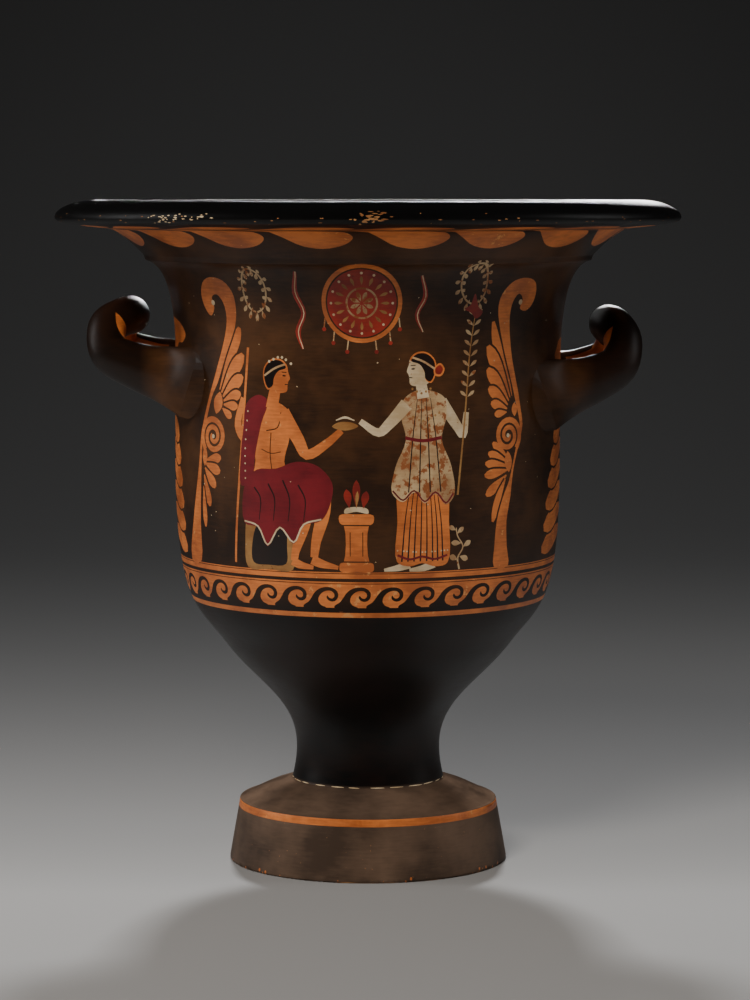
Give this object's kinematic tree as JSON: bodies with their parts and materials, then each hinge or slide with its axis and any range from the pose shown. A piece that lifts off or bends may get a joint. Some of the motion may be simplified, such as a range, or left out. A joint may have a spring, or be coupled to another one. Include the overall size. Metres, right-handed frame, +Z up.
{
  "type": "bell krater",
  "caption": "Wide-mouthed bell-shaped mixing bowl of black-gloss painted clay on a stemmed foot, with two upturned handles.",
  "frame": {"origin": "on the ground under the middle of the foot", "axes": "+Z up through the mouth, handles along X, the front picture facing -Y"},
  "size_m": [0.349, 0.349, 0.37],
  "materials": {
    "gloss_clay": "black-brown gloss slip over orange clay, with reserved and painted ornament"
  },
  "bodies": {
    "root": {"krater": "gloss_clay"}
  },
  "joints": []
}
